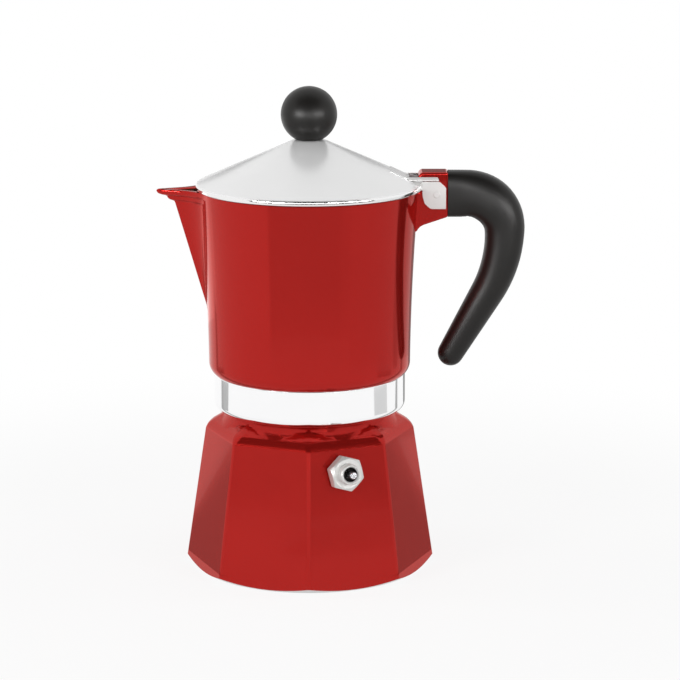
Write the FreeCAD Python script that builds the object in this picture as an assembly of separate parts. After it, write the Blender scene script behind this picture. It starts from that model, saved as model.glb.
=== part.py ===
import FreeCAD, Part
import math
import os

Vec = FreeCAD.Vector

# Frame: millimetres, +Z up, origin under the boiler on the pot's axis, spout to -X, handle to +X

# Boiler
boiler_sides = 8
foot_corner_radius = 41.7
shoulder_corner_radius = 34.5
shoulder_height = 48.0
shoulder_slope = 30.2
foot_radius = 37.5
foot_bevel_angle = 29.5
boiler_wall = 3.4
boiler_floor = 3.6
boiler_edge_round = 1.2

# Threaded neck of the boiler, with heights given as a rise above the shoulder
neck_root_radius = 27.2
neck_wall = 2.4
neck_flare_reach = 3.2
neck_flare_foot = 0.9
neck_flare_gap = 0.4
neck_rise = 16.0
thread_pitch = 3.5
thread_depth = 0.8
thread_base = 2.0
thread_turns = 2.0
thread_rise = 7.0
thread_clearance = 0.4

# Funnel with its coffee basket
funnel_sheet = 0.8
basket_clearance = 0.4
basket_depth = 20.0
basket_ledge = 1.6
funnel_cone_height = 9.0
tube_radius = 5.2
tube_floor_gap = 3.4
screen_thickness = 0.6
screen_clearance = 0.3
perforation_radius = 0.8
perforation_pitch = 4.2

# Gasket and filter plate
gasket_thickness = 3.2
gasket_width = 5.4
seal_clearance = 0.3
plate_thickness = 0.8

# Collector body
body_low_radius = 33.3
body_mid_radius = 33.85
body_top_radius = 35.9
body_mid_height = 92.0
body_edge_round = 4.6
rim_height = 126.3
body_wall = 2.4
floor_recess_depth = 2.4
floor_wall = 2.8

# Coffee column inside the collector
column_base_radius = 9.0
column_top_radius = 5.6
column_rim_gap = 13.3
column_bore = 3.2
column_cap = 3.0
column_slot_width = 3.4
column_slot_height = 4.5

# Collar band around the collector's skirt, standing clear of the shoulder
band_radius = 31.6
band_rise = 5.3
band_height = 12.1
band_thickness = 1.2
band_lip = 3.0
band_edge_round = 2.6

# Spout: ridge distance from the axis at each step of the beak, and the step's drop below the rim
spout_foot_height = 87.0
spout_bend_drop = 3.8
spout_bend_reach = 44.1
spout_step_drop = 2.1
spout_step_reach = 46.6
spout_step_lean = 0.8
spout_tip_reach = 50.0
spout_tip_lean = 1.3
spout_wall = 2.8
spout_root_sink = 0.4

# Hinge and bracket, with heights given as a rise above the rim or a drop below it
pin_x = 41.6
pin_drop = 1.1
pin_radius = 1.15
pin_running_clearance = 0.06
pin_head_proud = 0.15
bracket_half_width = 4.5
bracket_face_x = 45.3
bracket_rise = 6.0
bracket_outer_drop = 8.7
bracket_inner_drop = 11.7
crown_left_x = 35.6
crown_chamfer = 1.0
tongue_length = 12.0
tongue_half_width = 2.5
tongue_drop = 5.3
tongue_rise = 2.5
tongue_clearance = 0.2

# Lid and its forked strap, with heights from the rim in the same way
lid_rim_radius = 37.1
lid_rest_gap = 0.3
lid_rim_band = 1.6
lid_sheet = 1.0
lid_apex_radius = 5.0
lid_cone_rise = 14.4
strap_sheet = 1.0
strap_clearance = 0.3
strap_notch_radius = 10.4
strap_pad_start = 26.5
strap_pad_spread = 6.0
cheek_rise = 3.4
cheek_flange_rise = 1.2
cheek_drop = 5.8
cheek_right_x = 44.6
cheek_step_x = 36.9
cheek_step_drop = 1.6
cheek_corner_x = 37.6
cheek_corner_drop = 4.0
cheek_foot_x = 39.5
cheek_chamfer = 2.2

# Knob with its screw
knob_radius = 9.2
knob_stand = 17.4
insert_radius = 3.0
insert_length = 7.0
insert_setback = 0.6
knob_screw_radius = 2.0
knob_screw_length = 7.0
knob_screw_head_radius = 3.4
knob_screw_head_height = 2.0
knob_washer_radius = 4.2
knob_washer_thickness = 0.8
screw_slot_width = 0.9
screw_slot_depth = 0.9
screw_hole_clearance = 0.1

# Handle: straight root, tight bend, wide sweep, straight tail
handle_root_length = 6.5
handle_bend_radius = 12.3
handle_sweep_radius = 41.4
handle_sweep_angle = 30.0
handle_tail_length = 23.6
handle_centre_drop = 1.5
handle_root_height = 15.3
handle_bend_height = 15.0
handle_grip_height = 13.1
handle_sweep_height = 11.0
handle_end_height = 8.6
handle_grip_width = 13.5
handle_sweep_width = 12.0
handle_swing_length = 3.6
handle_root_squareness = 3.2
handle_swing_squareness = 3.0
handle_bend_squareness = 2.4
handle_grip_squareness = 2.2
handle_sweep_squareness = 2.1
handle_tail_squareness = 2.0
handle_tip_angles = (25, 45, 62, 76)
handle_section_points = 24
handle_screw_x = 51.8
handle_screw_radius = 1.4
handle_screw_length = 7.0
handle_screw_head_radius = 2.7
handle_screw_head_height = 1.6
handle_screw_setback = 0.3

# Safety valve, measured outwards along its own axis from the boiler's facet
valve_height = 38.7
valve_side_offset = -1.9
valve_turn = 12.0
valve_across_flats = 10.4
valve_washer_radius = 5.0
valve_washer_thickness = 0.8
valve_hex_thickness = 3.8
valve_hex_chamfer = 0.9
valve_nose_radius = 3.4
valve_nose_length = 2.6
valve_thread_radius = 3.9
valve_thread_length = 8.0
valve_bore = 2.35
valve_seat_depth = 5.0
valve_inlet = 1.2
plunger_radius = 1.15
plunger_head_radius = 2.1
plunger_head_thickness = 1.2
plunger_stands_out = 2.4
retainer_depth = 3.4
retainer_thickness = 0.8
retainer_clearance = 0.1
spring_wire = 0.4
spring_turns = 5
spring_end_gap = 0.05
spring_bore_gap = 0.35

# Tolerance for picking edges by their height
edge_tolerance = 0.01

# Values worked out from the driving dimensions
half_facet = math.pi / boiler_sides
foot_flat_radius = foot_corner_radius * math.cos(half_facet)
shoulder_flat_radius = shoulder_corner_radius * math.cos(half_facet)
facet_lean = math.atan2(foot_flat_radius - shoulder_flat_radius, shoulder_height)
neck_bore = neck_root_radius - neck_wall
skirt_bore = neck_root_radius + thread_depth + thread_clearance
neck_top = shoulder_height + neck_rise
thread_low = shoulder_height + thread_rise
band_bottom = shoulder_height + band_rise
band_top = band_bottom + band_height
basket_radius = neck_bore - basket_clearance
basket_floor = neck_top - basket_depth
tube_bottom = boiler_floor + tube_floor_gap
gasket_low = neck_top + funnel_sheet
plate_low = gasket_low + gasket_thickness
seat_height = plate_low + plate_thickness
floor_top = seat_height + floor_recess_depth + floor_wall
gasket_outer = skirt_bore - seal_clearance
gasket_inner = gasket_outer - gasket_width
edge_centre_x = body_low_radius - body_edge_round
edge_centre_z = band_top + math.sqrt(body_edge_round ** 2 - (band_radius - edge_centre_x) ** 2)
spout_bend_height = rim_height - spout_bend_drop
spout_step_height = rim_height - spout_step_drop
column_top = rim_height - column_rim_gap
pin_z = rim_height - pin_drop
bracket_top = rim_height + bracket_rise
bracket_low_outer = rim_height - bracket_outer_drop
bracket_low_inner = rim_height - bracket_inner_drop
tongue_low = rim_height - tongue_drop
tongue_high = rim_height + tongue_rise
handle_centre_z = rim_height - handle_centre_drop
cheek_top = rim_height + cheek_rise
cheek_low = rim_height - cheek_drop
cheek_step_z = rim_height - cheek_step_drop
cheek_corner_z = rim_height - cheek_corner_drop
lid_low = rim_height + lid_rest_gap
lid_cone_low = lid_low + lid_rim_band
lid_apex = lid_cone_low + lid_cone_rise
lid_slope = (lid_apex - lid_cone_low) / (lid_rim_radius - lid_apex_radius)
cheek_inner = bracket_half_width + strap_clearance
cheek_outer = cheek_inner + strap_sheet
knob_top = lid_apex + knob_stand
knob_centre = knob_top - knob_radius
valve_hex_low = valve_washer_thickness
valve_hex_high = valve_hex_low + valve_hex_thickness
valve_nose_end = valve_hex_high + valve_nose_length


def ring(inner, outer, low, high):
    solid = Part.makeCylinder(outer, high - low, Vec(0, 0, low))
    return solid.cut(Part.makeCylinder(inner, high - low, Vec(0, 0, low)))


def disc(radius, low, high):
    return Part.makeCylinder(radius, high - low, Vec(0, 0, low))


def revolved(edges):
    face = Part.Face(Part.Wire(edges))
    return face.revolve(Vec(0, 0, 0), Vec(0, 0, 1), 360)


def polygon_edges(points):
    corners = [Vec(x, 0, z) for x, z in points]
    return Part.makePolygon(corners + corners[:1]).Edges


def turned(points):
    return revolved(polygon_edges(points))


def prism(points, low_y, high_y):
    face = Part.Face(Part.Wire(polygon_edges(points)))
    face.translate(Vec(0, low_y, 0))
    return face.extrude(Vec(0, high_y - low_y, 0))


def across(radius, x, z, half_width):
    return Part.makeCylinder(radius, 2 * half_width, Vec(x, -half_width, z), Vec(0, 1, 0))


def octagon(corner_radius, height):
    points = []
    for corner in range(boiler_sides + 1):
        angle = 2 * math.pi * corner / boiler_sides
        points.append(Vec(corner_radius * math.cos(angle), corner_radius * math.sin(angle), height))
    return Part.makePolygon(points)


def on_valve_axis(shape):
    bearing = half_facet
    outward = Vec(math.sin(bearing), -math.cos(bearing), 0)
    sideways = Vec(math.cos(bearing), math.sin(bearing), 0)
    axis = outward * math.cos(facet_lean) + Vec(0, 0, math.sin(facet_lean))
    upward = axis.cross(sideways)
    reach = foot_flat_radius - valve_height * math.tan(facet_lean)
    rotation = FreeCAD.Rotation(sideways, upward, axis, "ZXY")
    spot = outward * reach + sideways * valve_side_offset + Vec(0, 0, valve_height)
    placed = shape.copy()
    placed.Placement = FreeCAD.Placement(spot, rotation).multiply(placed.Placement)
    return placed


# Boiler

def boiler_outside():
    top_rise = (shoulder_corner_radius - neck_bore) * math.tan(math.radians(shoulder_slope))
    sides = Part.makeLoft(
        [octagon(foot_corner_radius, 0), octagon(shoulder_corner_radius, shoulder_height)], True, True)
    shoulder = Part.makeLoft(
        [octagon(shoulder_corner_radius, shoulder_height),
         octagon(neck_bore, shoulder_height + top_rise)], True, True)
    body = sides.fuse(shoulder).removeSplitter()
    long_edges = []
    for edge in body.Edges:
        ends = [vertex.Z for vertex in edge.Vertexes]
        on_foot = max(ends) < edge_tolerance
        on_top = min(ends) > shoulder_height + top_rise - edge_tolerance
        if not on_foot and not on_top:
            long_edges.append(edge)
    body = body.makeFillet(boiler_edge_round, long_edges)
    bevel_reach = foot_corner_radius + boiler_wall
    bevel_rise = (bevel_reach - foot_radius) * math.tan(math.radians(foot_bevel_angle))
    return body.cut(turned([(foot_radius, 0), (bevel_reach, bevel_rise), (bevel_reach, 0)]))


def thread_ridge():
    helix = Part.makeHelix(thread_pitch, thread_pitch * thread_turns, neck_root_radius)
    sunk = neck_root_radius - thread_depth
    crest = neck_root_radius + thread_depth
    half_base = thread_base / 2
    half_crest = half_base / 3
    profile = Part.makePolygon([
        Vec(sunk, 0, -half_base), Vec(crest, 0, -half_crest),
        Vec(crest, 0, half_crest), Vec(sunk, 0, half_base), Vec(sunk, 0, -half_base)])
    ridge = Part.Wire(helix.Edges).makePipeShell([profile], True, True)
    ridge.translate(Vec(0, 0, thread_low))
    return ridge


def boiler():
    inside_low = foot_flat_radius - boiler_wall / math.cos(facet_lean) - boiler_floor * math.tan(facet_lean)
    inside_high = shoulder_flat_radius - boiler_wall / math.cos(facet_lean)
    inside_shoulder = shoulder_height + (inside_high - neck_bore) * math.tan(math.radians(shoulder_slope))
    neck = disc(neck_root_radius, shoulder_height, neck_top)
    flare = turned([
        (0, shoulder_height), (neck_root_radius + neck_flare_reach, shoulder_height),
        (neck_root_radius + neck_flare_reach, shoulder_height + neck_flare_foot),
        (neck_root_radius, band_bottom - neck_flare_gap), (0, band_bottom - neck_flare_gap)])
    hollow = turned([
        (0, boiler_floor), (inside_low, boiler_floor), (inside_high, shoulder_height),
        (neck_bore, inside_shoulder), (neck_bore, neck_top), (0, neck_top)])
    body = boiler_outside().fuse(neck).fuse(flare).fuse(thread_ridge()).cut(hollow)
    hole = disc(valve_thread_radius, -valve_thread_length, valve_washer_thickness)
    return body.cut(on_valve_axis(hole)).removeSplitter()


# Safety valve

def valve_body():
    corner_radius = valve_across_flats / 2 / math.cos(math.pi / 6)
    hexagon = Part.makePolygon([
        Vec(corner_radius * math.cos(math.radians(90 + valve_turn + 60 * corner)),
            corner_radius * math.sin(math.radians(90 + valve_turn + 60 * corner)), valve_hex_low)
        for corner in range(7)])
    nut = Part.Face(hexagon).extrude(Vec(0, 0, valve_hex_thickness))
    flat_radius = valve_across_flats / 2
    chamfer = turned([
        (0, valve_hex_low), (corner_radius, valve_hex_low),
        (corner_radius, valve_hex_high - valve_hex_chamfer),
        (flat_radius - valve_hex_chamfer / 2, valve_hex_high), (0, valve_hex_high)])
    body = nut.common(chamfer)
    body = body.fuse(disc(valve_nose_radius, valve_hex_low, valve_nose_end))
    body = body.fuse(disc(valve_thread_radius, -valve_thread_length, valve_hex_low))
    body = body.cut(disc(valve_bore, -valve_seat_depth, valve_nose_end))
    body = body.cut(disc(valve_inlet, -valve_thread_length, valve_nose_end))
    return on_valve_axis(body.removeSplitter())


def valve_washer():
    return on_valve_axis(ring(valve_thread_radius, valve_washer_radius, 0, valve_washer_thickness))


def valve_plunger():
    head_top = plunger_head_thickness - valve_seat_depth
    head = disc(plunger_head_radius, -valve_seat_depth, head_top)
    stem = disc(plunger_radius, -valve_seat_depth, valve_nose_end + plunger_stands_out)
    stem = stem.makeFillet(plunger_radius / 3, [stem.Edges[0]])
    return on_valve_axis(head.fuse(stem).removeSplitter())


def valve_retainer():
    high = valve_nose_end - retainer_depth
    bore = plunger_radius + retainer_clearance
    return on_valve_axis(ring(bore, valve_bore, high - retainer_thickness, high))


def valve_spring():
    wire_radius = spring_wire / 2
    low = plunger_head_thickness - valve_seat_depth + wire_radius + spring_end_gap
    high = valve_nose_end - retainer_depth - retainer_thickness - wire_radius - spring_end_gap
    coil_radius = valve_bore - spring_bore_gap - wire_radius
    pitch = (high - low) / spring_turns
    helix = Part.makeHelix(pitch, high - low, coil_radius)
    climb = pitch / (2 * math.pi * coil_radius)
    section = Part.makeCircle(wire_radius, Vec(coil_radius, 0, 0), Vec(0, 1, climb))
    coil = Part.Wire(helix.Edges).makePipeShell([Part.Wire(section)], True, True)
    coil.translate(Vec(0, 0, low))
    print("valve spring: gap between turns", round(pitch - spring_wire, 2))
    return on_valve_axis(coil)


# Funnel, screen, gasket and filter plate

def funnel():
    inner = basket_radius - funnel_sheet
    ledge = inner - basket_ledge
    tube_inner = tube_radius - funnel_sheet
    cone_low = basket_floor - funnel_cone_height
    return turned([
        (tube_inner, tube_bottom), (tube_radius, tube_bottom), (tube_radius, cone_low),
        (ledge, basket_floor - funnel_sheet), (basket_radius, basket_floor - funnel_sheet),
        (basket_radius, neck_top), (neck_root_radius, neck_top),
        (neck_root_radius, neck_top + funnel_sheet), (inner, neck_top + funnel_sheet),
        (inner, basket_floor), (ledge, basket_floor), (tube_inner, cone_low + funnel_sheet)])


def perforated(radius, low, high, free_radius):
    plate = disc(radius, low, high)
    holes = []
    rings = int(free_radius / perforation_pitch)
    for row in range(1, rings + 1):
        distance = row * perforation_pitch
        count = 6 * row
        for step in range(count):
            angle = 2 * math.pi * step / count
            spot = Vec(distance * math.cos(angle), distance * math.sin(angle), low)
            holes.append(Part.makeCylinder(perforation_radius, high - low, spot))
    return plate.cut(Part.makeCompound(holes))


def basket_screen():
    radius = basket_radius - funnel_sheet - screen_clearance
    free = radius - basket_ledge - perforation_radius
    return perforated(radius, basket_floor, basket_floor + screen_thickness, free)


def gasket():
    return ring(gasket_inner, gasket_outer, gasket_low, plate_low)


def filter_plate():
    free = gasket_inner - perforation_radius
    return perforated(gasket_outer, plate_low, seat_height, free)


# Collector

def body_radius(height):
    below = (height - edge_centre_z) * (height - body_mid_height)
    whole = (rim_height - edge_centre_z) * (rim_height - body_mid_height)
    chord = body_low_radius + (body_mid_radius - body_low_radius) * (
        height - edge_centre_z) / (body_mid_height - edge_centre_z)
    top_chord = body_low_radius + (body_mid_radius - body_low_radius) * (
        rim_height - edge_centre_z) / (body_mid_height - edge_centre_z)
    return chord + (body_top_radius - top_chord) * below / whole


def body_side(inset, low, high):
    middle = (low + high) / 2
    start = Vec(body_radius(low) - inset, 0, low)
    through = Vec(body_radius(middle) - inset, 0, middle)
    end = Vec(body_radius(high) - inset, 0, high)
    return Part.Arc(start, through, end).toShape()


def line(start, end):
    return Part.LineSegment(Vec(start[0], 0, start[1]), Vec(end[0], 0, end[1])).toShape()


def collector_outside():
    half_way = (math.atan2(band_top - edge_centre_z, band_radius - edge_centre_x)) / 2
    edge_middle = Vec(edge_centre_x + body_edge_round * math.cos(half_way), 0,
                      edge_centre_z + body_edge_round * math.sin(half_way))
    edge_arc = Part.Arc(
        Vec(band_radius, 0, band_top), edge_middle, Vec(body_low_radius, 0, edge_centre_z)).toShape()
    return revolved([
        line((0, band_top), (band_radius, band_top)), edge_arc,
        body_side(0, edge_centre_z, rim_height),
        line((body_top_radius, rim_height), (0, rim_height)),
        line((0, rim_height), (0, band_top))])


def collector_hollow():
    low = body_radius(floor_top) - body_wall
    high = body_radius(rim_height) - body_wall
    return revolved([
        line((0, floor_top), (low, floor_top)),
        body_side(body_wall, floor_top, rim_height),
        line((high, rim_height), (0, rim_height)),
        line((0, rim_height), (0, floor_top))])


def beak_section(height, reach, inset):
    radius = body_radius(height) - inset - spout_root_sink
    swing = math.acos(radius / reach)
    side_x = -radius * math.cos(swing)
    side_y = radius * math.sin(swing)
    return Part.makePolygon([
        Vec(-reach, 0, height), Vec(side_x, -side_y, height),
        Vec(side_x, side_y, height), Vec(-reach, 0, height)])


def beak(levels, inset):
    sections = [beak_section(height, reach, inset) for height, reach in levels]
    return Part.makeLoft(sections, True, True)


def spout_outside():
    start = body_radius(spout_foot_height)
    lower = beak([(spout_foot_height, start), (spout_bend_height, spout_bend_reach)], 0)
    step = beak([(spout_bend_height, spout_step_reach - spout_step_lean),
                 (spout_step_height, spout_step_reach)], 0)
    lip = beak([(spout_step_height, spout_tip_reach - spout_tip_lean),
                (rim_height, spout_tip_reach)], 0)
    return lower.fuse(step).fuse(lip)


def spout_hollow():
    foot = spout_foot_height + body_wall
    start = body_radius(foot) - body_wall
    return beak([(foot, start), (spout_bend_height, spout_bend_reach - spout_wall),
                 (rim_height, spout_tip_reach - spout_wall)], body_wall)


def bracket():
    root_x = body_radius(bracket_low_inner) - body_wall / 2
    web = prism([
        (root_x, bracket_low_inner), (bracket_face_x, bracket_low_outer),
        (bracket_face_x, bracket_top), (crown_left_x + crown_chamfer, bracket_top),
        (crown_left_x, bracket_top - crown_chamfer), (crown_left_x, rim_height),
        (root_x, rim_height)], -bracket_half_width, bracket_half_width)
    tongue = prism([
        (bracket_face_x, tongue_low), (bracket_face_x + tongue_length, tongue_low),
        (bracket_face_x + tongue_length, tongue_high), (bracket_face_x, tongue_high)],
        -tongue_half_width, tongue_half_width)
    return web.fuse(tongue)


def coffee_column():
    dome_low = column_top - column_top_radius
    tube = turned([
        (0, seat_height + floor_recess_depth), (column_base_radius, seat_height + floor_recess_depth),
        (column_base_radius, floor_top), (column_top_radius, dome_low), (0, dome_low)])
    dome = Part.makeSphere(column_top_radius, Vec(0, 0, dome_low), Vec(0, 0, 1), 0, 90)
    bore = disc(column_bore, seat_height, column_top - column_cap)
    slot_low = column_top - column_cap - column_slot_height
    slot = Part.makeBox(
        column_slot_width, 4 * column_base_radius, column_slot_height,
        Vec(-column_slot_width / 2, -2 * column_base_radius, slot_low))
    return tube.fuse(dome).cut(bore).cut(slot)


def collector():
    skirt = disc(band_radius - band_thickness, band_bottom + band_lip, band_top)
    body = collector_outside().fuse(skirt).fuse(spout_outside()).fuse(bracket())
    body = body.cut(collector_hollow()).cut(spout_hollow()).cut(clear_above_rim())
    body = body.cut(disc(skirt_bore, band_bottom, seat_height))
    recess = turned([
        (0, seat_height), (gasket_inner, seat_height),
        (column_bore, seat_height + floor_recess_depth), (0, seat_height + floor_recess_depth)])
    body = body.cut(recess).fuse(coffee_column())
    body = body.cut(disc(column_bore, seat_height, floor_top))
    body = body.cut(across(pin_radius, pin_x, pin_z, bracket_half_width))
    screw_depth = handle_screw_tip() - tongue_low
    thread = Part.makeCylinder(handle_screw_radius, screw_depth, Vec(handle_screw_x, 0, tongue_low))
    return body.cut(thread).removeSplitter()


def clear_above_rim():
    reach = body_radius(rim_height) - body_wall
    return disc(reach, rim_height, bracket_top)


def collar_band():
    inner = band_radius - band_thickness
    lower = disc(band_radius, band_bottom, band_bottom + band_lip)
    circles = [edge for edge in lower.Edges if len(edge.Vertexes) == 1]
    low_edges = [edge for edge in circles if edge.CenterOfMass.z < band_bottom + edge_tolerance]
    lower = lower.makeFillet(band_edge_round, low_edges)
    lower = lower.cut(disc(skirt_bore, band_bottom, band_bottom + band_lip))
    return lower.fuse(ring(inner, band_radius, band_bottom + band_lip, band_top)).removeSplitter()


def hinge_pin():
    return across(pin_radius, pin_x, pin_z, cheek_outer + pin_head_proud)


# Lid

def lid_height(radius):
    return lid_cone_low + (lid_rim_radius - radius) * lid_slope


def lid_shell():
    drop = lid_sheet * math.sqrt(1 + lid_slope ** 2)
    bead = lid_rim_radius - lid_rim_band
    return turned([
        (bead, lid_low), (lid_rim_radius, lid_low), (lid_rim_radius, lid_cone_low),
        (lid_apex_radius, lid_apex), (0, lid_apex), (0, lid_apex - drop),
        (lid_apex_radius, lid_apex - drop), (bead, lid_height(bead) - drop)])


def lid_inside():
    drop = lid_sheet * math.sqrt(1 + lid_slope ** 2)
    return turned([
        (0, lid_low), (lid_rim_radius - lid_rim_band, lid_low),
        (lid_rim_radius - lid_rim_band, lid_height(lid_rim_radius - lid_rim_band) - drop),
        (lid_apex_radius, lid_apex - drop), (0, lid_apex - drop)])


def strap_pad():
    pad_top = cheek_top + cheek_flange_rise
    wedge = prism([
        (strap_pad_start, lid_low), (cheek_step_x, lid_low), (cheek_step_x, cheek_top),
        (pin_x - strap_notch_radius, pad_top), (strap_pad_start, lid_height(strap_pad_start))],
        -cheek_outer, cheek_outer)
    return wedge.cut(lid_inside())


def strap_gusset():
    rim_y = cheek_outer + strap_pad_spread
    rim_x = math.sqrt((lid_rim_radius - lid_rim_band / 2) ** 2 - rim_y ** 2)
    root = pin_x - strap_notch_radius
    flank = Part.makePolygon([
        Vec(root, cheek_outer, lid_low), Vec(cheek_step_x, cheek_outer, lid_low),
        Vec(cheek_step_x, cheek_outer, cheek_top), Vec(root, cheek_outer, cheek_top),
        Vec(root, cheek_outer, lid_low)])
    tip = Part.Vertex(Vec(rim_x, rim_y, lid_low + lid_rim_band / 2))
    return Part.makeLoft([flank, tip], True, True).cut(lid_inside())


def strap_arm():
    arm = prism([
        (lid_rim_radius - lid_rim_band, lid_low), (cheek_step_x, lid_low),
        (cheek_step_x, cheek_step_z), (cheek_corner_x, cheek_corner_z), (cheek_foot_x, cheek_low),
        (cheek_right_x, cheek_low), (cheek_right_x, cheek_top - cheek_chamfer),
        (cheek_right_x - cheek_chamfer, cheek_top), (lid_rim_radius - lid_rim_band, cheek_top)],
        cheek_inner, cheek_outer)
    start = pin_x - strap_notch_radius
    flange = Part.Face(Part.makePolygon([
        Vec(start, cheek_inner, cheek_top), Vec(start, cheek_outer, cheek_top),
        Vec(start, cheek_inner, cheek_top + cheek_flange_rise), Vec(start, cheek_inner, cheek_top)]))
    flange = flange.extrude(Vec(cheek_right_x - cheek_chamfer - start, 0, 0))
    return arm.fuse(flange)


def mirrored(shape):
    return shape.mirror(Vec(0, 0, 0), Vec(0, 1, 0))


def lid():
    body = lid_shell().fuse(strap_pad()).fuse(strap_gusset()).fuse(mirrored(strap_gusset()))
    body = body.cut(across(strap_notch_radius, pin_x, pin_z, cheek_inner))
    body = body.fuse(strap_arm()).fuse(mirrored(strap_arm()))
    body = body.cut(across(pin_radius + pin_running_clearance, pin_x, pin_z, 2 * cheek_outer))
    hole = disc(knob_screw_radius + screw_hole_clearance, lid_cone_low, knob_top)
    return body.cut(hole).removeSplitter()


# Knob

def insert_low():
    return lid_apex + insert_setback


def knob():
    ball = Part.makeSphere(knob_radius, Vec(0, 0, knob_centre))
    below = disc(knob_radius, knob_centre - 2 * knob_radius, lid_apex)
    socket = disc(insert_radius, lid_apex, insert_low() + insert_length)
    return ball.cut(below).cut(socket)


def knob_insert():
    return ring(knob_screw_radius, insert_radius, insert_low(), insert_low() + insert_length)


def lid_ceiling():
    return lid_apex - lid_sheet * math.sqrt(1 + lid_slope ** 2)


def knob_washer():
    high = lid_ceiling()
    bore = knob_screw_radius + screw_hole_clearance
    return ring(bore, knob_washer_radius, high - knob_washer_thickness, high)


def knob_screw():
    seat = lid_ceiling() - knob_washer_thickness
    head = disc(knob_screw_head_radius, seat - knob_screw_head_height, seat)
    slot = Part.makeBox(
        2 * knob_screw_head_radius, screw_slot_width, screw_slot_depth,
        Vec(-knob_screw_head_radius, -screw_slot_width / 2, seat - knob_screw_head_height))
    shank = disc(knob_screw_radius, seat, insert_low() + knob_screw_length)
    return head.cut(slot).fuse(shank).removeSplitter()


# Handle

def handle_spine(distance):
    bend_length = handle_bend_radius * math.pi / 2
    sweep_length = handle_sweep_radius * math.radians(handle_sweep_angle)
    bend_x = bracket_face_x + handle_root_length
    bend_z = handle_centre_z - handle_bend_radius
    if distance <= handle_root_length:
        return Vec(bracket_face_x + distance, 0, handle_centre_z), 0.0
    distance -= handle_root_length
    if distance <= bend_length:
        turn = distance / handle_bend_radius
        along = handle_bend_radius * math.sin(turn)
        rise = handle_bend_radius * math.cos(turn)
        return Vec(bend_x + along, 0, bend_z + rise), turn
    distance -= bend_length
    sweep_x = bend_x + handle_bend_radius - handle_sweep_radius
    turn = min(distance, sweep_length) / handle_sweep_radius
    along = handle_sweep_radius * math.cos(turn)
    drop = handle_sweep_radius * math.sin(turn)
    spot = Vec(sweep_x + along, 0, bend_z - drop)
    tail = max(0.0, distance - sweep_length)
    heading = Vec(-math.sin(turn), 0, -math.cos(turn))
    return spot + heading * tail, math.pi / 2 + turn


def handle_section(distance, height, width, squareness):
    spot, turn = handle_spine(distance)
    across_grip = Vec(math.sin(turn), 0, math.cos(turn))
    points = []
    for step in range(handle_section_points):
        angle = 2 * math.pi * step / handle_section_points
        cosine = math.cos(angle)
        sine = math.sin(angle)
        side = math.copysign(abs(cosine) ** (2 / squareness), cosine) * width / 2
        rise = math.copysign(abs(sine) ** (2 / squareness), sine) * height / 2
        points.append(spot + Vec(0, side, 0) + across_grip * rise)
    curve = Part.BSplineCurve()
    curve.interpolate(points, PeriodicFlag=True)
    return Part.Wire(curve.toShape())


def handle_grip():
    bend_end = handle_root_length + handle_bend_radius * math.pi / 2
    sweep_end = bend_end + handle_sweep_radius * math.radians(handle_sweep_angle)
    tail_end = sweep_end + handle_tail_length
    bend_middle = (handle_root_length + bend_end) / 2
    sweep_middle = (bend_end + sweep_end) / 2
    tail_mid = (sweep_end + tail_end) / 2
    root_width = 2 * bracket_half_width
    grip_middle = (handle_grip_height + handle_sweep_height) / 2
    tail_height = (handle_sweep_height + handle_end_height) / 2
    tail_width = (handle_sweep_width + handle_end_height) / 2
    sections = [
        handle_section(0, handle_root_height, root_width, handle_root_squareness),
        handle_section(handle_swing_length, handle_root_height, root_width, handle_swing_squareness),
        handle_section(bend_middle, handle_bend_height, handle_grip_width, handle_bend_squareness),
        handle_section(bend_end, handle_grip_height, handle_grip_width, handle_grip_squareness),
        handle_section(sweep_middle, grip_middle, handle_grip_width, handle_sweep_squareness),
        handle_section(sweep_end, handle_sweep_height, handle_sweep_width, handle_tail_squareness),
        handle_section(tail_mid, tail_height, tail_width, handle_tail_squareness),
        handle_section(tail_end, handle_end_height, handle_end_height, handle_tail_squareness)]
    for angle in handle_tip_angles:
        depth = handle_end_height / 2 * math.sin(math.radians(angle))
        size = handle_end_height * math.cos(math.radians(angle))
        sections.append(handle_section(tail_end + depth, size, size, handle_tail_squareness))
    return Part.makeLoft(sections, True, False)


def handle_underside():
    return handle_centre_z - handle_root_height / 2


def handle_screw_head_low():
    return handle_underside() + handle_screw_setback


def handle_screw_tip():
    return handle_screw_head_low() + handle_screw_head_height + handle_screw_length


def handle():
    end_x = bracket_face_x + tongue_length + tongue_clearance
    pocket = prism([
        (bracket_face_x, tongue_low - tongue_clearance), (end_x, tongue_low - tongue_clearance),
        (end_x, tongue_high + tongue_clearance), (bracket_face_x, tongue_high + tongue_clearance)],
        -tongue_half_width - tongue_clearance, tongue_half_width + tongue_clearance)
    head_top = handle_screw_head_low() + handle_screw_head_height
    below = handle_underside() - handle_root_height / 4
    counterbore = Part.makeCylinder(
        handle_screw_head_radius + screw_hole_clearance, head_top - below, Vec(handle_screw_x, 0, below))
    hole = Part.makeCylinder(
        handle_screw_radius + screw_hole_clearance, tongue_low - below, Vec(handle_screw_x, 0, below))
    return handle_grip().cut(pocket).cut(counterbore).cut(hole)


def handle_screw():
    low = handle_screw_head_low()
    spot = Vec(handle_screw_x, 0, low)
    head = Part.makeCylinder(handle_screw_head_radius, handle_screw_head_height, spot)
    slot = Part.makeBox(
        screw_slot_width, 2 * handle_screw_head_radius, screw_slot_depth,
        spot - Vec(screw_slot_width / 2, handle_screw_head_radius, 0))
    shank = Part.makeCylinder(handle_screw_radius, handle_screw_head_height + handle_screw_length, spot)
    return head.fuse(shank).cut(slot).removeSplitter()


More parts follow.
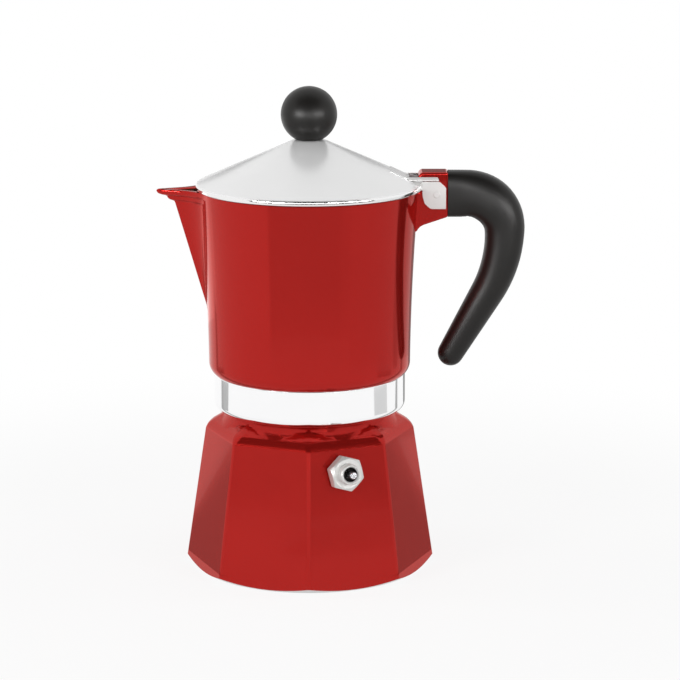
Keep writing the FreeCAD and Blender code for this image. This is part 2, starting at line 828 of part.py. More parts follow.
pieces = {
    "boiler": boiler,
    "valve_body": valve_body,
    "valve_washer": valve_washer,
    "valve_plunger": valve_plunger,
    "valve_retainer": valve_retainer,
    "valve_spring": valve_spring,
    "funnel": funnel,
    "basket_screen": basket_screen,
    "gasket": gasket,
    "filter_plate": filter_plate,
    "collector": collector,
    "collar_band": collar_band,
    "hinge_pin": hinge_pin,
    "handle": handle,
    "handle_screw": handle_screw,
    "lid": lid,
    "knob": knob,
    "knob_insert": knob_insert,
    "knob_washer": knob_washer,
    "knob_screw": knob_screw,
}

os.makedirs("parts", exist_ok=True)
for name, make in pieces.items():
    shape = make()
    shape.exportStep("parts/" + name + ".step")
    box = shape.BoundBox
    print(name, "solids", len(shape.Solids), "valid", shape.isValid(), "volume", round(shape.Volume, 1),
          "z", round(box.ZMin, 2), round(box.ZMax, 2), "x", round(box.XMin, 2), round(box.XMax, 2))
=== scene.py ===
from math import asin, atan2, copysign, cos, hypot, pi, radians, sin, sqrt, tan
from types import SimpleNamespace as Values

import bmesh
import bpy
from mathutils import Matrix, Vector


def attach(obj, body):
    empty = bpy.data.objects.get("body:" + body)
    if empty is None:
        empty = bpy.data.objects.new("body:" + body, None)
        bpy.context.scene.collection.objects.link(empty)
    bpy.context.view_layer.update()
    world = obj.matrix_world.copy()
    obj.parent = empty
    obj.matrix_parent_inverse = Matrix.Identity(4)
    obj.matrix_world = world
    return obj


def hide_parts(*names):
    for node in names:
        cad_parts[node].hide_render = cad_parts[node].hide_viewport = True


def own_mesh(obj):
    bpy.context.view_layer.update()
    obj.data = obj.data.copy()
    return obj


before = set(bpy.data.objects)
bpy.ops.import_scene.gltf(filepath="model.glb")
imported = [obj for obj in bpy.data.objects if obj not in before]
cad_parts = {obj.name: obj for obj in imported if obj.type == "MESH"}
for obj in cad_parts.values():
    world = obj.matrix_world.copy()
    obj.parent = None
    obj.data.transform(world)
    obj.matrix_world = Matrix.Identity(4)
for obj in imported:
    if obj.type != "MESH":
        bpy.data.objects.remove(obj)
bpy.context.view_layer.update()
mm = 0.001  # sizes of pieces are in millimetres, those of finishes and stage in metres
samePoint = 0.001  # millimetres: points closer than this are one
touch = 0.1  # millimetres: slack where points and faces are found by their place


# selecting and small modelling steps

def clearSelection():
    if bpy.context.object and bpy.context.object.mode != "OBJECT":
        bpy.ops.object.mode_set(mode="OBJECT")
    bpy.ops.object.select_all(action="DESELECT")


def named(name):
    # the object that an operator has just added
    piece = bpy.context.object
    piece.name = name
    return piece


def makeActive(piece):
    clearSelection()
    piece.select_set(True)
    bpy.context.view_layer.objects.active = piece


def startEdit(piece):
    makeActive(piece)
    bpy.ops.object.mode_set(mode="EDIT")
    bpy.ops.mesh.select_mode(type="VERT")


def endEdit():
    bpy.ops.object.mode_set(mode="OBJECT")


def pickAll():
    bpy.ops.mesh.select_all(action="SELECT")


def startPicking(mode):
    bpy.ops.mesh.select_mode(type=mode)
    bpy.ops.mesh.select_all(action="DESELECT")
    return bmesh.from_edit_mesh(bpy.context.object.data)


def pickVerts(test):
    mesh = startPicking("VERT")
    for vert in mesh.verts:
        vert.select = bool(test(vert.co / mm))
    mesh.select_flush(True)
    bmesh.update_edit_mesh(bpy.context.object.data)


def pickFaces(test):
    mesh = startPicking("FACE")
    mesh.normal_update()
    for face in mesh.faces:
        face.select = bool(test(face.calc_center_median() / mm, face.normal))
    bmesh.update_edit_mesh(bpy.context.object.data)


def faceOutward():
    pickAll()
    bpy.ops.mesh.normals_make_consistent(inside=False)


def moveBy(vector):
    bpy.ops.transform.translate(value=[step * mm for step in vector])


def extrudeBy(vector):
    bpy.ops.mesh.extrude_region_move(TRANSFORM_OT_translate={"value": [step * mm for step in vector]})


def drawLine(name, points, closed):
    # a plane shrunk to one point, then pulled along the line point by point
    clearSelection()
    bpy.ops.mesh.primitive_plane_add(size=mm, location=(0, 0, 0))
    piece = named(name)
    startEdit(piece)
    pickAll()
    bpy.ops.mesh.merge(type="CENTER")
    moveBy(points[0])
    for before, after in zip(points, points[1:]):
        extrudeBy([b - a for a, b in zip(before, after)])
    if closed:
        ends = (Vector(points[0]), Vector(points[-1]))
        pickVerts(lambda co: min((co - end).length for end in ends) < samePoint)
        bpy.ops.mesh.edge_face_add()
    return piece


def roundCorner(point, setback, segments):
    spot = Vector(point)
    pickVerts(lambda co: (co - spot).length < samePoint)
    bpy.ops.mesh.bevel(offset_type="OFFSET", offset=setback * mm, segments=segments, affect="VERTICES")


def spunPiece(name, corners, steps=160, closed=True):
    # corners are (radius, height) or (radius, height, setback, segments) where the corner is rounded
    points = [(corner[0], 0, corner[1]) for corner in corners]
    piece = drawLine(name, points, closed)
    for corner, point in zip(corners, points):
        if len(corner) > 2:
            roundCorner(point, corner[2], corner[3])
    pickAll()
    bpy.ops.mesh.spin(steps=steps, angle=2 * pi, center=(0, 0, 0), axis=(0, 0, 1))
    pickAll()
    bpy.ops.mesh.remove_doubles(threshold=2 * samePoint * mm)
    faceOutward()
    endEdit()
    return piece


def slabPiece(name, outline, lowY, highY, rounds=()):
    # an outline in X and Z, filled and pulled out along Y
    points = [(x, lowY, z) for x, z in outline]
    piece = drawLine(name, points, True)
    for index, setback, segments in rounds:
        roundCorner(points[index], setback, segments)
    pickAll()
    bpy.ops.mesh.edge_face_add()
    extrudeBy((0, highY - lowY, 0))
    faceOutward()
    endEdit()
    return piece


def applied(piece, kind, **settings):
    makeActive(piece)
    modifier = piece.modifiers.new(kind.lower(), kind)
    for key, value in settings.items():
        setattr(modifier, key, value)
    bpy.ops.object.modifier_apply(modifier=modifier.name)


def softenEdges(piece, width, segments=3, angle=30):
    applied(piece, "BEVEL", width=width * mm, segments=segments, limit_method="ANGLE",
            angle_limit=radians(angle), harden_normals=False)


def combine(piece, tool, operation):
    applied(piece, "BOOLEAN", object=tool, operation=operation, solver="EXACT")
    bpy.data.objects.remove(tool)


def joined(piece, *others):
    makeActive(piece)
    for other in others:
        other.select_set(True)
    bpy.ops.object.join()
    return piece


def roundBar(name, radius, low, high, sides=64):
    clearSelection()
    bpy.ops.mesh.primitive_cylinder_add(
        vertices=sides, radius=radius * mm, depth=(high - low) * mm, location=(0, 0, (low + high) / 2 * mm))
    piece = named(name)
    settle(piece)
    return piece


def capEnds(piece):
    # closes the open ends of a tube
    startEdit(piece)
    bpy.ops.mesh.select_mode(type="EDGE")
    bpy.ops.mesh.select_all(action="DESELECT")
    bpy.ops.mesh.select_non_manifold()
    bpy.ops.mesh.fill_holes(sides=0)
    faceOutward()
    endEdit()


def woundPiece(name, outline, climb, turns, steps):
    # an outline in X and Z, wound up around Z
    piece = drawLine(name, [(x, 0, z) for x, z in outline], True)
    endEdit()
    applied(piece, "SCREW", axis="Z", angle=2 * pi, screw_offset=climb * mm, iterations=turns, steps=steps,
            render_steps=steps, use_merge_vertices=True, merge_threshold=samePoint * mm)
    capEnds(piece)
    return piece


def settle(piece):
    makeActive(piece)
    bpy.ops.object.transform_apply(location=True, rotation=True, scale=True)


def placed(piece, matrix):
    piece.matrix_world = matrix
    settle(piece)
    return piece


def shaded(piece, angle=30, weighted=False):
    makeActive(piece)
    bpy.ops.object.shade_smooth_by_angle(angle=radians(angle))
    if weighted:
        applied(piece, "WEIGHTED_NORMAL", mode="FACE_AREA", weight=90, keep_sharp=True)


def dressed(piece, *names):
    piece.data.materials.clear()
    for name in names:
        piece.data.materials.append(looks[name])


def paintFaces(piece, slotIndex, test):
    # gives the faces that pass the test another of the piece's materials
    startEdit(piece)
    pickFaces(test)
    piece.active_material_index = slotIndex
    bpy.ops.object.material_slot_assign()
    endEdit()


def handIn(piece, body, slotName, *nodes):
    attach(piece, body)
    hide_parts(*nodes)
    print("piece", piece.name, len(piece.data.polygons), "faces")


# shader maths

class Flow:
    # one output of a node, with the arithmetic that a Math node does
    def __init__(self, sheet, socket):
        self.sheet = sheet
        self.socket = socket

    def math(self, operation, *values):
        return self.sheet.add("ShaderNodeMath", {"operation": operation}, values)

    def __add__(self, other):
        return self.math("ADD", self, other)

    def __radd__(self, other):
        return self.math("ADD", other, self)

    def __sub__(self, other):
        return self.math("SUBTRACT", self, other)

    def __rsub__(self, other):
        return self.math("SUBTRACT", other, self)

    def __mul__(self, other):
        return self.math("MULTIPLY", self, other)

    def __rmul__(self, other):
        return self.math("MULTIPLY", other, self)

    def clamped(self):
        return self.sheet.add("ShaderNodeClamp", {}, [self])

    def above(self, start, end):
        # 0 below start, 1 above end, smooth between
        return self.sheet.add("ShaderNodeMapRange", {"interpolation_type": "SMOOTHSTEP"}, [self, start, end])


class Finish:
    # one material's node sheet
    def __init__(self, name):
        self.material = bpy.data.materials.new(name)
        self.material.use_nodes = True
        self.tree = self.material.node_tree
        self.tree.nodes.clear()

    def add(self, kind, settings, sockets, output=0):
        node = self.tree.nodes.new(kind)
        for key, value in settings.items():
            setattr(node, key, value)
        pairs = sockets.items() if isinstance(sockets, dict) else enumerate(sockets)
        for key, value in pairs:
            if isinstance(value, Flow):
                self.tree.links.new(value.socket, node.inputs[key])
            else:
                node.inputs[key].default_value = value
        return Flow(self, node.outputs[output]) if node.outputs else None

    def place(self):
        return self.add("ShaderNodeTexCoord", {}, [], "Object")

    def axes(self):
        node = self.add("ShaderNodeSeparateXYZ", {}, [self.place()]).socket.node
        return [Flow(self, socket) for socket in node.outputs]

    def radius(self):
        x, y = self.axes()[:2]
        return x.math("SQRT", x * x + y * y)

    def noise(self, scale, detail=2.0, roughness=0.5, vector=None):
        return self.add("ShaderNodeTexNoise", {}, {
            "Vector": vector or self.place(), "Scale": scale, "Detail": detail, "Roughness": roughness})

    def vector(self, x, y, z):
        return self.add("ShaderNodeCombineXYZ", {}, [x, y, z])

    def stretched(self, scales):
        return self.vector(*[axis * scale for axis, scale in zip(self.axes(), scales)])

    def blend(self, amount, first, second):
        # inputs 6 and 7 and output 2 are the node's colour sockets
        return self.add("ShaderNodeMix", {"data_type": "RGBA"}, {0: amount, 6: first, 7: second}, 2)

    def bump(self, height, strength, distance):
        return self.add("ShaderNodeBump", {}, {"Strength": strength, "Distance": distance, "Height": height})

    def shader(self, sockets):
        return self.add("ShaderNodeBsdfPrincipled", {}, sockets)

    def done(self, surface):
        self.add("ShaderNodeOutputMaterial", {}, {"Surface": surface})
        return self.material


def colour(red, green, blue):
    return (red, green, blue, 1.0)


# red enamel on the castings
enamelLook = dict(
    deep=colour(0.415, 0.0135, 0.0105), bright=colour(0.450, 0.0155, 0.0122), gloss=0.08, specular=0.09,
    lustre=0.62, lacquer=0.16, edgeTint=colour(1.0, 0.62, 0.58), cloud=38.0, haze=120.0, hazeRough=0.06,
    peel=900.0, bump=0.12, depth=0.00002)


def redEnamel():
    look = Values(**enamelLook)
    sheet = Finish("red_enamel")
    cloud = sheet.noise(look.cloud, 3.0)
    haze = sheet.noise(look.haze, 4.0, 0.6)
    peel = sheet.noise(look.peel, 2.0)
    return sheet.done(sheet.shader({
        "Base Color": sheet.blend(cloud, look.deep, look.bright),
        "Roughness": look.gloss + haze * look.hazeRough,
        "Specular IOR Level": look.specular, "Specular Tint": look.edgeTint,
        "Metallic": look.lustre, "Coat Weight": look.lacquer,
        "Normal": sheet.bump(peel, look.bump, look.depth)}))


# bare cast and turned aluminium: foot bevel, neck, insides; the poured kind has painted shade in the pouring
# channel
castLook = dict(
    dark=colour(0.50, 0.50, 0.50), light=colour(0.66, 0.66, 0.66), stain=70.0, rough=0.36, grain=1400.0,
    # coffee is painted shade: the dark of the pouring channel under the lid
    grainRough=0.12, grainBump=0.5, turning=2600.0, bump=0.25, depth=0.00004, coffee=colour(0.075, 0.028, 0.016),
    channelX=(-0.0370, -0.0325), channelZ=(0.090, 0.100))


def bareCasting(name, poured=False):
    look = Values(**castLook)
    sheet = Finish(name)
    x, y, z = sheet.axes()
    grain = sheet.noise(look.grain, 4.0, 0.6)
    tint = sheet.blend(sheet.noise(look.stain, 4.0), look.dark, look.light)
    if poured:  # painted shade darkens the pouring channel under the lid
        coffee = (1.0 - x.above(*look.channelX)) * z.above(*look.channelZ)
        tint = sheet.blend(coffee, tint, look.coffee)
    around = sheet.vector(sheet.radius() * look.turning, z * look.turning, 0.0)
    turning = sheet.noise(1.0, 1.0, 0.5, around)
    return sheet.done(sheet.shader({
        "Base Color": tint, "Metallic": 1.0, "Roughness": look.rough + grain * look.grainRough,
        "Normal": sheet.bump(grain * look.grainBump + turning, look.bump, look.depth)}))


# polished collar, with fine turned lines
collarLook = dict(
    tint=colour(0.97, 0.97, 0.975), shade=colour(0.93, 0.93, 0.935), rough=0.05, wipe=60.0, wipeRough=0.05,
    lines=(12.0, 12.0, 5200.0), bump=0.04, depth=0.00002)


def polishedCollar():
    look = Values(**collarLook)
    sheet = Finish("polished_collar")
    lines = sheet.noise(1.0, 2.0, 0.5, sheet.stretched(look.lines))
    wipe = sheet.noise(look.wipe, 3.0)
    return sheet.done(sheet.shader({
        "Base Color": sheet.blend(wipe, look.shade, look.tint), "Metallic": 1.0,
        "Roughness": look.rough + wipe * look.wipeRough,
        "Normal": sheet.bump(lines, look.bump, look.depth)}))


# satin spun lid with a polished rim
lidLook = dict(
    tint=colour(0.90, 0.90, 0.90), shade=colour(0.84, 0.84, 0.84), satin=0.18, polish=0.10, sheen=0.26,
    rimHeight=(0.1280, 0.1284), rimRadius=(0.0350, 0.0362), wipe=45.0, lines=4200.0, upLines=1500.0,
    linesRough=0.10, bump=0.05, depth=0.00002)


def satinLid():
    look = Values(**lidLook)
    sheet = Finish("satin_lid")
    radius = sheet.radius()
    height = sheet.axes()[2]
    around = sheet.vector(radius * look.lines, height * look.upLines, 0.0)
    lines = sheet.noise(1.0, 2.0, 0.6, around)
    wipe = sheet.noise(look.wipe, 3.0)
    rim = (1.0 - height.above(*look.rimHeight)) * radius.above(*look.rimRadius)
    satin = look.satin + lines * look.linesRough
    return sheet.done(sheet.shader({
        "Base Color": sheet.blend(wipe, look.shade, look.tint),
        "Metallic": look.sheen + rim * (1.0 - look.sheen),
        "Roughness": satin * (1.0 - rim) + look.polish * rim,
        "Normal": sheet.bump(lines, look.bump, look.depth)}))


# plain finishes: a clouded tint, and a fine grain in roughness and bump
plainShared = dict(
    cloudDetail=3.0, grainDetail=3.0, grainMix=0.6, grainRough=0.12, stretch=None, metal=0.0, specular=0.5)
metalShared = dict(cloudDetail=4.0, metal=1.0, bump=0.15)
sealShared = dict(
    cloud=120.0, grain=1800.0, grainDetail=4.0, grainMix=0.7, grainRough=0.15, bump=0.25, depth=0.00004)
plainLooks = {
    "black_plastic": dict(
        dark=colour(0.0085, 0.0075, 0.0066), light=colour(0.0135, 0.0120, 0.0107), cloud=90.0,
        rough=0.32, specular=0.24, grain=2300.0, bump=0.08, depth=0.00003),
    "stamped_strap": dict(
        dark=colour(0.62, 0.61, 0.60), light=colour(0.70, 0.69, 0.68), cloud=160.0, rough=0.30,
        metal=0.22, grain=1.0, grainDetail=2.0, grainRough=0.10, stretch=(400.0, 4000.0, 4000.0),
        bump=0.06, depth=0.00002),
    "drawn_sheet": metalShared | dict(
        dark=colour(0.60, 0.60, 0.61), light=colour(0.74, 0.74, 0.75), cloud=187.5, rough=0.26,
        grain=1500.0, depth=0.00002),
    "dull_nickel": metalShared | dict(
        dark=colour(0.56, 0.555, 0.54), light=colour(0.72, 0.715, 0.70), cloud=150.0, rough=0.24,
        grain=1200.0, depth=0.00003, metal=0.35),
    # painted shade: near-black steel for the valve's bore and for the spring and retainer inside it
    "oiled_steel": metalShared | dict(
        dark=colour(0.014, 0.013, 0.012), light=colour(0.030, 0.028, 0.026), cloud=150.0, rough=0.40,
        grain=1200.0, depth=0.00003),
    "bright_steel": metalShared | dict(
        dark=colour(0.52, 0.52, 0.54), light=colour(0.66, 0.66, 0.68), cloud=225.0, rough=0.20,
        grain=1800.0, depth=0.00002),
    "turned_brass": metalShared | dict(
        dark=colour(0.55, 0.36, 0.13), light=colour(0.72, 0.52, 0.22), cloud=187.5, rough=0.22,
        grain=1500.0, depth=0.00002),
    "gasket_rubber": sealShared | dict(
        dark=colour(0.66, 0.64, 0.58), light=colour(0.78, 0.76, 0.70), rough=0.55),
    "pressed_fibre": sealShared | dict(
        dark=colour(0.22, 0.05, 0.03), light=colour(0.34, 0.09, 0.05), rough=0.60)}


def plainFinish(name):
    look = Values(**plainShared | plainLooks[name])
    sheet = Finish(name)
    spot = sheet.stretched(look.stretch) if look.stretch else None
    grain = sheet.noise(look.grain, look.grainDetail, look.grainMix, spot)
    cloud = sheet.noise(look.cloud, look.cloudDetail)
    return sheet.done(sheet.shader({
        "Base Color": sheet.blend(cloud, look.dark, look.light), "Metallic": look.metal,
        "Roughness": look.rough + grain * look.grainRough, "Specular IOR Level": look.specular,
        "Normal": sheet.bump(grain, look.bump, look.depth)}))


looks = {
    "enamel": redEnamel(), "casting": bareCasting("bare_casting"), "poured": bareCasting("poured_casting", True),
    "collar": polishedCollar(), "lid": satinLid()}
looks |= {name: plainFinish(name) for name in plainLooks}
print("materials", len(looks))


# boiler: eight flats, sloped shoulder, turned foot, threaded neck, hollow inside
boilerSizes = dict(
    sides=8, footCorner=41.7, shoulderCorner=34.5, shoulderHeight=48.0, slope=30.2, topCorner=24.8,
    edgeRound=2.1, flatEdgeShare=0.40, footRadius=37.5, footAngle=29.5, footBelow=0.5, footReach=8.5,
    footBare=4.0, neckRoot=27.2, neckBore=24.8, neckInner=22.0, neckLow=46.0, neckTop=64.0, neckEdge=0.5,
    pitch=3.5, threadDepth=0.8, threadSink=0.3, threadFoot=1.0, threadCrest=0.35, threadLow=55.0, threadTurns=2,
    insideLow=34.59, insideHigh=28.44, insideShoulder=50.12, insideTop=70.0, floorEdge=3.0, shoulderEdge=2.0,
    floor=3.6, floorBare=0.5, bareFrom=53.9,
    flare=[(31.2, 48.0), (30.5, 48.9), (29.4, 50.0), (28.3, 51.3), (27.5, 52.4), (27.2, 53.3)])
valveSizes = dict(
    x=10.936, y=-31.366, z=38.7, axis=(0.37906, -0.91513, 0.13727), turn=12.0, hole=3.9, holeLow=-10, holeHigh=1)


def valveMatrix():
    axis = Vector(valveSizes["axis"]).normalized()
    halfSide = pi / boilerSizes["sides"]
    sideways = Vector((cos(halfSide), sin(halfSide), 0))
    upward = axis.cross(sideways)
    turn = Matrix((sideways, upward, axis)).transposed().to_4x4()
    spot = Vector((valveSizes["x"], valveSizes["y"], valveSizes["z"])) * mm
    return Matrix.Translation(spot) @ turn


def weighEdges(piece, test):
    # bevel weights by edge, so flats and shoulder get their own rounding
    weights = piece.data.attributes.new("bevel_weight_edge", "FLOAT", "EDGE")
    for edge in piece.data.edges:
        ends = [piece.data.vertices[index].co / mm for index in edge.vertices]
        weights.data[edge.index].value = test(*ends)


def buildBoiler():
    s = Values(**boilerSizes)
    clearSelection()
    bpy.ops.mesh.primitive_cone_add(
        vertices=s.sides, radius1=s.footCorner * mm, radius2=s.shoulderCorner * mm,
        depth=s.shoulderHeight * mm, location=(0, 0, s.shoulderHeight / 2 * mm))
    piece = named("boilerCasting")
    settle(piece)
    startEdit(piece)
    rise = (s.shoulderCorner - s.topCorner) * tan(radians(s.slope))
    pickFaces(lambda centre, normal: normal.z > 0.9)
    extrudeBy((0, 0, rise))
    shrink = s.topCorner / s.shoulderCorner
    bpy.ops.transform.resize(value=(shrink, shrink, 1))
    endEdit()
    topHeight = s.shoulderHeight + rise

    def roundShare(first, second):
        low, high = sorted((first.z, second.z))
        if high < touch or low > topHeight - touch:
            return 0.0
        if low > s.shoulderHeight - touch:
            return 1.0
        return s.flatEdgeShare

    weighEdges(piece, roundShare)
    applied(piece, "BEVEL", width=s.edgeRound * mm, segments=6, limit_method="WEIGHT")
    back = s.footBelow / tan(radians(s.footAngle))
    climb = s.footReach * tan(radians(s.footAngle))
    footEnd = s.footRadius + s.footReach
    foot = spunPiece("footCutter", [
        (s.footRadius - back, -s.footBelow), (footEnd, climb), (footEnd, -s.footBelow)], 192)
    combine(piece, foot, "DIFFERENCE")
    neck = spunPiece("neckRing", [
        (s.neckInner, s.neckLow), (s.flare[0][0], s.neckLow)] + s.flare + [
        (s.neckRoot, s.neckTop, s.neckEdge, 3), (s.neckInner, s.neckTop)], 160)
    combine(piece, neck, "UNION")
    hollow = spunPiece("waterSpace", [
        (0, s.floor), (s.insideLow, s.floor, s.floorEdge, 5),
        (s.insideHigh, s.shoulderHeight, s.shoulderEdge, 4), (s.neckBore, s.insideShoulder),
        (s.neckBore, s.insideTop), (0, s.insideTop)], 160, False)
    combine(piece, hollow, "DIFFERENCE")
    hole = roundBar("valveHole", valveSizes["hole"], valveSizes["holeLow"], valveSizes["holeHigh"])
    combine(piece, placed(hole, valveMatrix()), "DIFFERENCE")
    joined(piece, buildThread())
    dressed(piece, "enamel", "casting")
    paintFaces(piece, 1, bareOnBoiler)
    shaded(piece, 28, True)
    handIn(piece, "boiler", "red_paint", "boiler")


def bareOnBoiler(centre, normal):
    # turned foot, neck with its thread, and the hollow, whose faces look towards the axis or up from the floor
    s = Values(**boilerSizes)
    if centre.z > s.bareFrom or (centre.z < s.footBare and normal.z < -0.4):
        return True
    if centre.z < s.floor + s.floorBare:
        return normal.z > 0.5 and centre.xy.length < s.insideLow
    return normal.xy.dot(centre.xy) < 0


def buildThread():
    s = Values(**boilerSizes)
    low = s.threadLow
    root = s.neckRoot - s.threadSink
    crest = s.neckRoot + s.threadDepth
    outline = [(root, low - s.threadFoot), (crest, low - s.threadCrest), (crest, low + s.threadCrest),
               (root, low + s.threadFoot)]
    return woundPiece("neckThread", outline, s.pitch, s.threadTurns, 96)


buildBoiler()


# collar band round the joint
collarSizes = dict(
    radius=31.6, low=53.3, high=65.4, bore=28.4, inner=30.4, lip=56.3, edge=2.4, boreEdge=0.3, topEdge=0.25)


def buildCollar():
    s = Values(**collarSizes)
    piece = spunPiece("collarRing", [
        (s.bore, s.low, s.boreEdge, 2), (s.radius, s.low, s.edge, 10), (s.radius, s.high, s.topEdge, 4),
        (s.inner, s.high), (s.inner, s.lip), (s.bore, s.lip, s.boreEdge, 2)], 224)
    dressed(piece, "collar")
    shaded(piece, 40, True)
    handIn(piece, "collector", "polished_aluminium", "collar_band")


buildCollar()


# collector: waisted round jug with beak spout, hinge bracket and coffee column
jugSizes = dict(
    lowRadius=33.3, midRadius=33.85, topRadius=35.9, edgeHeight=68.97, midHeight=92.0,
    rim=126.3, edgeRound=4.6, edgeSteps=8, bandRadius=31.6, bandTop=65.4, skirtLow=56.3,
    skirtOuter=30.4, skirtBore=28.4, skirtEdge=0.4, seat=68.8, wall=2.4, wallSlack=0.8,
    floor=74.0, floorEdge=1.6, columnBase=9.0, columnTop=5.6, columnHigh=113.0, columnRoof=3.0,
    columnBore=3.2, columnEdge=1.2, columnRoom=10.0, recess=71.2, recessRadius=22.7,
    exitHeight=107.75, exitSize=(3.4, 40, 4.5), bareDepth=1.5, bareLow=60.0,
    lip=[(0.9, 0.0), (2.0, 0.1)],  # in from the rim's radius, down from its height
    # rows of faces: first height, step, number
    outerRows=(70.6, 2.4, 22), innerTop=[125.9, 124.2, 122.5, 120.0], innerRows=(117.0, -2.7, 16))
spoutSizes = dict(
    foot=87.0, halfAngle=25.0, ridgeSoft=0.8, softReach=4.0, least=0.01, rootRound=18.0, rootShare=2.2,
    innerRound=14.0, innerFoot=89.4, innerBend=(122.5, 38.7), innerTip=(126.3, 44.6), crowdReach=48.0,
    crowdShare=0.3, zoneX=-20.0, zoneY=26.0, channelX=-30.0,
    ridge=[(87.0, 33.75), (121.9, 43.95), (122.3, 44.2), (122.6, 45.0), (122.8, 45.6), (123.1, 46.05),
        (123.5, 46.35), (123.9, 46.55), (124.15, 46.95), (124.3, 47.8), (124.5, 48.6), (124.8, 49.3),
        (125.2, 49.75), (125.7, 50.0), (126.05, 49.85), (126.3, 49.4)])
bracketSizes = dict(
    halfWidth=4.5, edge=0.7, face=45.3, tongue=12.0, tongueInset=1.6, tongueShrink=(1, 0.85, 0.6),
    outline=[(33.9, 112.2), (35.2, 112.9), (35.7, 113.7), (36.3, 114.35), (37.4, 114.95), (45.3, 117.6),
        (45.3, 132.3), (36.6, 132.3), (35.6, 131.3), (35.6, 126.0), (33.9, 126.0)])


def jugRadius(height):
    s = Values(**jugSizes)
    across = (s.midRadius - s.lowRadius) / (s.midHeight - s.edgeHeight)
    chord = s.lowRadius + across * (height - s.edgeHeight)
    topChord = s.lowRadius + across * (s.rim - s.edgeHeight)
    bow = (height - s.edgeHeight) * (height - s.midHeight)
    wholeBow = (s.rim - s.edgeHeight) * (s.rim - s.midHeight)
    return chord + (s.topRadius - topChord) * bow / wholeBow


def alongLine(levels, height):
    for (lowZ, lowReach), (highZ, highReach) in zip(levels, levels[1:]):
        if height <= highZ:
            return lowReach + (highReach - lowReach) * max(0.0, height - lowZ) / (highZ - lowZ)
    return levels[-1][1]


def beakRadius(radius, reach, angle, rootRound):
    # two flat flanks that meet in a soft ridge, each run into the round wall by a hollow curve
    half = radians(spoutSizes["halfAngle"])
    if reach <= radius + spoutSizes["least"]:
        return radius
    angle = abs(angle)
    root = min(rootRound, spoutSizes["rootShare"] * (reach - radius))
    turn = asin((reach * sin(half) + root) / (radius + root)) - half
    if angle >= turn:
        return radius
    centre = Vector((cos(turn), sin(turn))) * (radius + root)
    leave = centre - Vector((sin(half), cos(half))) * root
    flankEnd = atan2(leave.y, leave.x)
    if angle > flankEnd:
        along = centre.dot(Vector((cos(angle), sin(angle))))
        return along - sqrt(max(0.0, root ** 2 - centre.length_squared + along ** 2))
    soft = radians(spoutSizes["ridgeSoft"]) * min(1.0, (reach - radius) / spoutSizes["softReach"])
    bend = hypot(angle, soft) - soft
    endBend = hypot(flankEnd, soft) - soft
    bend += (flankEnd - endBend) * angle / flankEnd
    return reach * sin(half) / sin(bend + half)


def crowdedAngle(angle):
    # moves the columns of faces closer together towards the ridge
    reach = radians(spoutSizes["crowdReach"])
    share = spoutSizes["crowdShare"]
    if abs(angle) >= reach:
        return angle
    return angle * (share + (1.0 - share) * abs(angle) / reach)


def pullSpout(piece):
    s = Values(**spoutSizes)
    startEdit(piece)
    data = piece.data
    mesh = bmesh.from_edit_mesh(data)
    for vert in mesh.verts:
        co = vert.co / mm
        flat = co.xy.length
        if flat < jugSizes["columnBase"] + jugSizes["columnRoom"]:
            continue
        angle = crowdedAngle(atan2(co.y, -co.x))
        radius = flat
        wall = jugRadius(co.z)
        if co.z >= s.foot and flat > wall - jugSizes["wall"] - jugSizes["wallSlack"]:
            inset = max(0.0, min(1.0, (wall - flat) / jugSizes["wall"]))
            outer = beakRadius(wall, alongLine(s.ridge, co.z), angle, s.rootRound)
            innerWall = wall - jugSizes["wall"]
            innerLevels = [(s.innerFoot, innerWall), s.innerBend, s.innerTip]
            innerReach = alongLine(innerLevels, co.z) if co.z > s.innerFoot else innerWall
            inner = beakRadius(innerWall, innerReach, angle, s.innerRound)
            radius = outer + (inner - outer) * inset
        vert.co.x = -cos(angle) * radius * mm
        vert.co.y = sin(angle) * radius * mm
    bmesh.update_edit_mesh(data)
    faceOutward()
    endEdit()


def buildBracket():
    s = Values(**bracketSizes)
    piece = slabPiece("bracketArm", s.outline, -s.halfWidth, s.halfWidth)
    softenEdges(piece, s.edge, 4)
    startEdit(piece)
    pickFaces(lambda centre, normal: normal.x > 0.99 and centre.x > s.face - touch)
    bpy.ops.mesh.inset(thickness=s.tongueInset * mm)
    extrudeBy((s.tongue, 0, 0))
    bpy.ops.transform.resize(value=s.tongueShrink)
    endEdit()
    return piece


def evenRows(first, step, number):
    return [first + step * row for row in range(number)]


